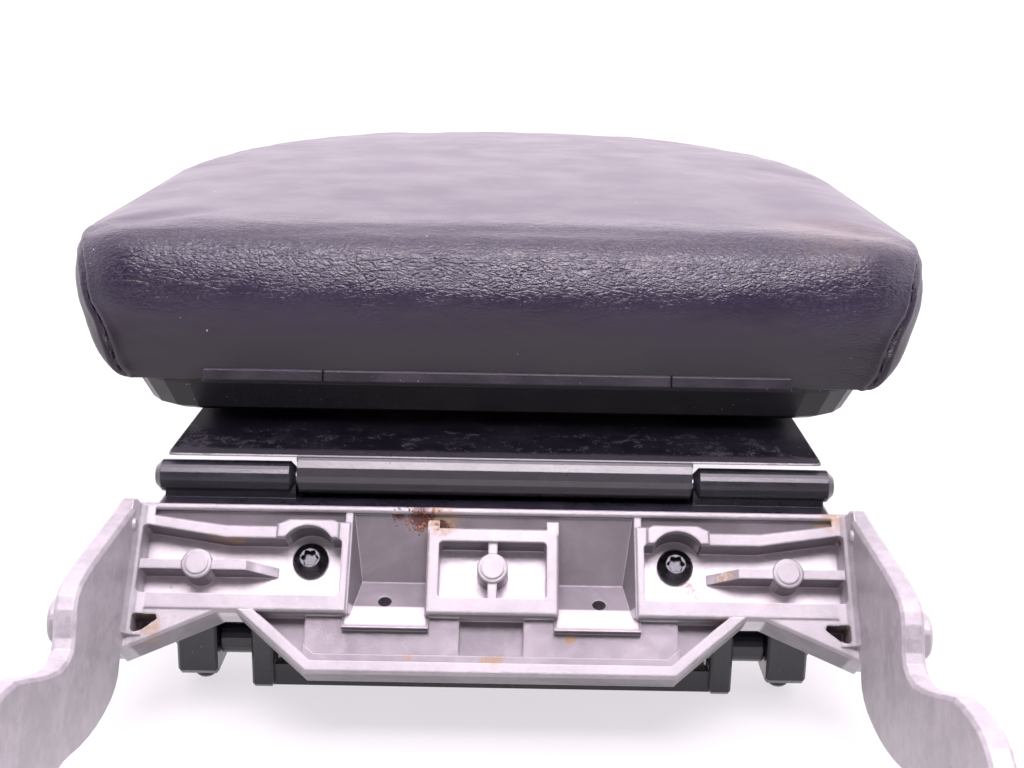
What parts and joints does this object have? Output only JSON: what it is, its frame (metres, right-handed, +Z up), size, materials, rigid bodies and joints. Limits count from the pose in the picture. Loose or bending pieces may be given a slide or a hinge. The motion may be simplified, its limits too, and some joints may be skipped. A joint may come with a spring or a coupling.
{
  "type": "car armrest",
  "caption": "Padded centre armrest whose lid slides on a hinged tray, carried by a cast bracket with two fixing arms and a sprung stop lever.",
  "frame": {"origin": "middle of the line between the two fixing bosses nearest the hinge, where the bracket's arms are fastened inside the console", "axes": "+X to the right seen from the bracket end, +Y from the bracket towards the armrest's front end, +Z up with the armrest shut"},
  "size_m": [0.242, 0.462, 0.1173],
  "materials": {
    "cast_alloy": "satin die-cast, stained in places",
    "black_moulding": "satin black moulding",
    "gloss_black": "glossy black, dusty and lightly scratched",
    "steel": "bright",
    "black_steel": "black coated, shiny",
    "leather": "dark grey grained leather, creased at the rear edge",
    "foam": "open-cell foam",
    "hem_strip": "dark flexible strip",
    "nylon": "natural nylon"
  },
  "bodies": {
    "bracket": {"hinge_bracket": "cast_alloy", "hinge_carrier": "black_moulding", "carrier_screw_left": "black_steel", "carrier_screw_right": "black_steel", "hinge_pin": "steel", "lower_shaft": "black_steel"},
    "lever": {"stop_lever": "black_moulding", "lever_spring_left": "steel", "lever_spring_right": "steel"},
    "tray": {"slide_tray": "gloss_black", "tray_liner": "black_moulding", "liner_screw_rear_left": "black_steel", "liner_screw_rear_right": "black_steel", "liner_screw_front_left": "black_steel", "liner_screw_front_right": "black_steel"},
    "lid": {"leather_cover": "leather", "foam_pad": "foam", "base_board": "black_moulding", "lower_shell": "black_moulding", "hem_clip_centre": "hem_strip", "hem_clip_left": "hem_strip", "hem_clip_right": "hem_strip", "glide_shoe_rear_left": "nylon", "glide_shoe_rear_right": "nylon", "glide_shoe_front_left": "nylon", "glide_shoe_front_right": "nylon", "board_screw_rear_left": "black_steel", "board_screw_rear_right": "black_steel", "board_screw_front_left": "black_steel", "board_screw_front_right": "black_steel", "slide_stop_pin": "steel"}
  },
  "joints": [
    {"name": "tray_hinge", "type": "hinge", "parent": "bracket", "child": "tray", "pos_m": [0, 0.0485, 0.0183], "axis": [1, 0, 0], "range_deg": [0, 95]},
    {"name": "lid_slide", "type": "slide", "parent": "tray", "child": "lid", "axis": [0, 1, 0], "range_m": [0, 0.06]},
    {"name": "lever_pivot", "type": "hinge", "parent": "bracket", "child": "lever", "pos_m": [0, 0.051, -0.0277], "axis": [1, 0, 0], "range_deg": [0, 10], "stiffness_Nm_per_rad": 0.25, "springref_deg": -22.92}
  ]
}
